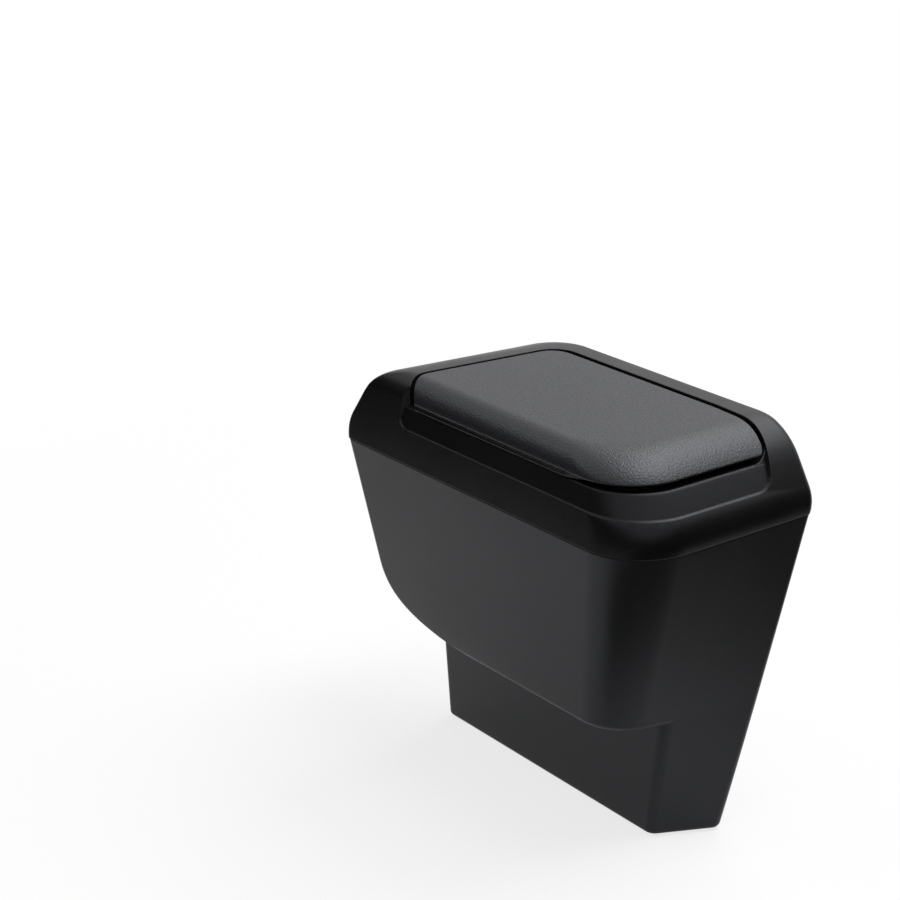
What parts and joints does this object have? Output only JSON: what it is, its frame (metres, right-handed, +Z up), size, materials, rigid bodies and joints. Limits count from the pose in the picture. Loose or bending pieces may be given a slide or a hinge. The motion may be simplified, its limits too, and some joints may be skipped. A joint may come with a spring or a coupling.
{
  "type": "car side trash bin",
  "caption": "Narrow bin for a car's side pocket or seat gap, with a rim cover, a hinged grained lid with a finger gap, a loose bag ring and a slim leg it stands on.",
  "frame": {"origin": "centre of the bounding box at floor level, under the rubber foot", "axes": "+X along the bin towards its near end with the finger gap, +Y towards its hidden long side, +Z up"},
  "size_m": [0.2459, 0.1264, 0.2195],
  "materials": {
    "body_black": "fine matte texture",
    "rim_black": "satin with a very fine grain",
    "lid_grain": "leather grain moulded in",
    "liner_gloss": "smooth, glossy edge",
    "ring_grey": "smooth moulded",
    "bracket_black": "smooth moulded",
    "steel": "plated",
    "rubber": "matte"
  },
  "bodies": {
    "bin": {"body_shell": "body_black", "rim_cover": "rim_black", "bag_ring": "ring_grey", "foot_pad": "rubber", "hinge_bracket": "bracket_black", "bracket_screws": "steel", "hinge_pin": "steel", "pin_clips": "steel", "lid_bumpers": "rubber"},
    "lid": {"lid_cover": "lid_grain", "lid_liner": "liner_gloss", "lid_screws": "steel"}
  },
  "joints": [
    {"name": "lid_hinge", "type": "hinge", "parent": "bin", "child": "lid", "pos_m": [-0.0541, 0, 0.214], "axis": [-0.0993, -0.9951, 0], "range_deg": [0, 100]}
  ]
}
